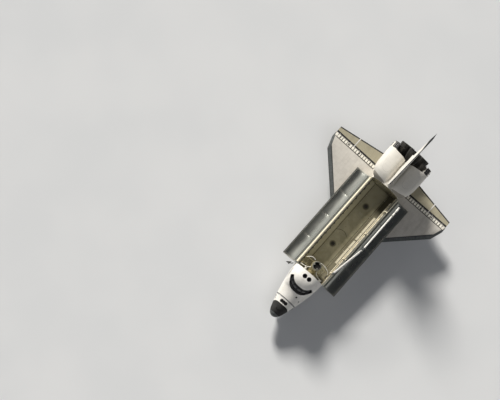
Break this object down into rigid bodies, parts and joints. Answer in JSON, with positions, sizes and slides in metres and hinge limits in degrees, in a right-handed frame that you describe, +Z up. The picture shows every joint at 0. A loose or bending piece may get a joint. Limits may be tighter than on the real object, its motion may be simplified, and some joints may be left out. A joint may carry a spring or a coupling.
{
  "type": "winged orbital spacecraft",
  "caption": "Winged orbital spacecraft on its landing gear, payload bay doors open, jointed arm raised, docking port in the bay.",
  "frame": {"origin": "on the floor, under the middle of the craft's length and width", "axes": "+X towards the nose, +Y to port, +Z up"},
  "size_m": [36.4128, 23.5712, 17.2772],
  "materials": {
    "white_blanket": "matte",
    "black_tile": "matte",
    "carbon_edge": "matte",
    "radiator_film": "gloss",
    "bay_liner": "matte",
    "engine_steel": "satin",
    "gear_steel": "satin",
    "white_metal": "satin",
    "dark_glass": "polished",
    "tyre_rubber": "matte"
  },
  "bodies": {
    "airframe": {"nose_cap": "carbon_edge", "forward_thruster_module": "white_blanket", "forward_fuselage": "white_blanket", "windshield_glass": "dark_glass", "roof_window_glass": "dark_glass", "bay_window_glass": "dark_glass", "flight_deck": "white_metal", "bay_belly": "bay_liner", "bay_wall_port": "bay_liner", "bay_wall_starboard": "bay_liner", "wing_port": "white_blanket", "leading_edge_port": "carbon_edge", "wing_starboard": "white_blanket", "leading_edge_starboard": "carbon_edge", "upper_engine": "engine_steel", "port_lower_engine": "engine_steel", "starboard_lower_engine": "engine_steel", "aft_fuselage": "white_blanket", "engine_pod_port": "white_blanket", "pod_engine_port": "engine_steel", "engine_pod_starboard": "white_blanket", "pod_engine_starboard": "engine_steel", "fin": "white_blanket", "docking_airlock": "bay_liner", "docking_collar": "white_metal", "docking_ring": "white_metal", "dish_antenna_foot": "white_metal", "nose_leg": "gear_steel", "nose_gear_door_port": "black_tile", "nose_gear_door_starboard": "black_tile", "main_leg_port": "gear_steel", "main_gear_door_port": "black_tile", "main_leg_starboard": "gear_steel", "main_gear_door_starboard": "black_tile"},
    "port_door": {"bay_door_port": "white_blanket", "aft_radiator_port": "radiator_film"},
    "starboard_door": {"bay_door_starboard": "white_blanket", "aft_radiator_starboard": "radiator_film"},
    "port_radiator": {"forward_radiator_port": "radiator_film"},
    "starboard_radiator": {"forward_radiator_starboard": "radiator_film"},
    "arm_cradles": {"arm_cradles": "white_metal"},
    "arm_upper": {"arm_upper": "white_metal"},
    "arm_lower": {"arm_lower": "white_metal", "arm_hand": "white_metal"},
    "dish_antenna": {"dish_antenna": "white_metal"},
    "body_flap": {"body_flap": "black_tile"},
    "rudder_hinge": {"rudder_hinge": "engine_steel"},
    "rudder_port_half": {"rudder_port_half": "white_blanket"},
    "rudder_starboard_half": {"rudder_starboard_half": "white_blanket"},
    "nose_slider": {"nose_leg_slider": "gear_steel"},
    "nose_wheels": {"nose_wheels": "tyre_rubber"},
    "main_wheels_port": {"main_wheels_port": "tyre_rubber"},
    "inboard_elevon_port": {"inboard_elevon_port": "white_blanket"},
    "outboard_elevon_port": {"outboard_elevon_port": "white_blanket"},
    "main_wheels_starboard": {"main_wheels_starboard": "tyre_rubber"},
    "inboard_elevon_starboard": {"inboard_elevon_starboard": "white_blanket"},
    "outboard_elevon_starboard": {"outboard_elevon_starboard": "white_blanket"}
  },
  "joints": [
    {"name": "port_door_hinge", "type": "hinge", "parent": "airframe", "child": "port_door", "pos_m": [0.43768, 2.667, 6.06046], "axis": [-0.9981, 0, 0.061], "range_deg": [-175.5, 0]},
    {"name": "starboard_door_hinge", "type": "hinge", "parent": "airframe", "child": "starboard_door", "pos_m": [0.43768, -2.667, 6.06046], "axis": [0.9981, 0, -0.061], "range_deg": [-175.5, 0]},
    {"name": "port_radiator_hinge", "type": "hinge", "parent": "port_door", "child": "port_radiator", "pos_m": [4.8726, 3.22183, 4.92776], "axis": [0.9981, 0, -0.061], "range_deg": [0, 35.5]},
    {"name": "starboard_radiator_hinge", "type": "hinge", "parent": "starboard_door", "child": "starboard_radiator", "pos_m": [4.8726, -3.22183, 4.92776], "axis": [-0.9981, 0, 0.061], "range_deg": [0, 35.5]},
    {"name": "arm_roll", "type": "hinge", "parent": "airframe", "child": "arm_cradles", "pos_m": [0.41209, 2.3622, 5.64214], "axis": [-0.9981, 0, 0.061], "range_deg": [-36, 0]},
    {"name": "arm_shoulder_pitch", "type": "hinge", "parent": "arm_cradles", "child": "arm_upper", "pos_m": [7.18102, 2.72812, 6.26454], "axis": [-0.0204, 0.9428, -0.3329], "range_deg": [-25, 0]},
    {"name": "arm_elbow_pitch", "type": "hinge", "parent": "arm_upper", "child": "arm_lower", "pos_m": [1.56879, 3.62663, 9.15267], "axis": [0.0204, -0.9428, 0.3329], "range_deg": [-25, 0]},
    {"name": "antenna_mast", "type": "hinge", "parent": "airframe", "child": "dish_antenna", "pos_m": [9.44872, -2.3622, 5.68745], "axis": [0.061, 0, 0.9981], "range_deg": [-140, 0]},
    {"name": "inboard_elevon_port_hinge", "type": "hinge", "parent": "airframe", "child": "inboard_elevon_port", "pos_m": [-11.2447, 5.3848, 3.53156], "axis": [0.0037, 0.9981, 0.0609], "range_deg": [-20, 35]},
    {"name": "outboard_elevon_port_hinge", "type": "hinge", "parent": "airframe", "child": "outboard_elevon_port", "pos_m": [-11.22781, 9.906, 3.80757], "axis": [0.0037, 0.9981, 0.0609], "range_deg": [-20, 35]},
    {"name": "inboard_elevon_starboard_hinge", "type": "hinge", "parent": "airframe", "child": "inboard_elevon_starboard", "pos_m": [-11.2447, -5.3848, 3.53156], "axis": [-0.0037, 0.9981, -0.0609], "range_deg": [-20, 35]},
    {"name": "outboard_elevon_starboard_hinge", "type": "hinge", "parent": "airframe", "child": "outboard_elevon_starboard", "pos_m": [-11.22781, -9.906, 3.80757], "axis": [-0.0037, 0.9981, -0.0609], "range_deg": [-20, 35]},
    {"name": "body_flap_hinge", "type": "hinge", "parent": "airframe", "child": "body_flap", "pos_m": [-14.6997, 0, 3.62723], "axis": [0, 1, 0], "range_deg": [-22.5, 11.7]},
    {"name": "rudder_turn", "type": "hinge", "parent": "airframe", "child": "rudder_hinge", "pos_m": [-12.89006, 0, 10.15834], "axis": [-0.5156, 0, 0.8568], "range_deg": [-27.1, 27.1]},
    {"name": "port_speed_brake", "type": "hinge", "parent": "rudder_hinge", "child": "rudder_port_half", "pos_m": [-12.89006, 0, 10.15834], "axis": [0.5156, 0, -0.8568], "range_deg": [0, 49.3]},
    {"name": "starboard_speed_brake", "type": "hinge", "parent": "rudder_hinge", "child": "rudder_starboard_half", "pos_m": [-12.89006, 0, 10.15834], "axis": [-0.5156, 0, 0.8568], "range_deg": [0, 49.3]},
    {"name": "nose_steering", "type": "hinge", "parent": "airframe", "child": "nose_slider", "pos_m": [14.49513, 0, 0.4064], "axis": [0.1009, 0, 0.9949], "range_deg": [-10, 10]},
    {"name": "nose_wheel_spin", "type": "hinge", "parent": "nose_slider", "child": "nose_wheels", "pos_m": [14.49513, 0, 0.4064], "axis": [0, 1, 0], "continuous": true},
    {"name": "main_wheel_spin_port", "type": "hinge", "parent": "airframe", "child": "main_wheels_port", "pos_m": [-5.70045, 3.4544, 0.56515], "axis": [0, 1, 0], "continuous": true},
    {"name": "main_wheel_spin_starboard", "type": "hinge", "parent": "airframe", "child": "main_wheels_starboard", "pos_m": [-5.70045, -3.4544, 0.56515], "axis": [0, 1, 0], "continuous": true}
  ],
  "couplings": [
    {"joint": "arm_roll", "follows": "port_door_hinge", "ratio": 0.20513},
    {"joint": "arm_shoulder_pitch", "follows": "port_door_hinge", "ratio": 0.14245},
    {"joint": "arm_elbow_pitch", "follows": "port_door_hinge", "ratio": 0.14245},
    {"joint": "starboard_speed_brake", "follows": "port_speed_brake", "ratio": 1}
  ]
}
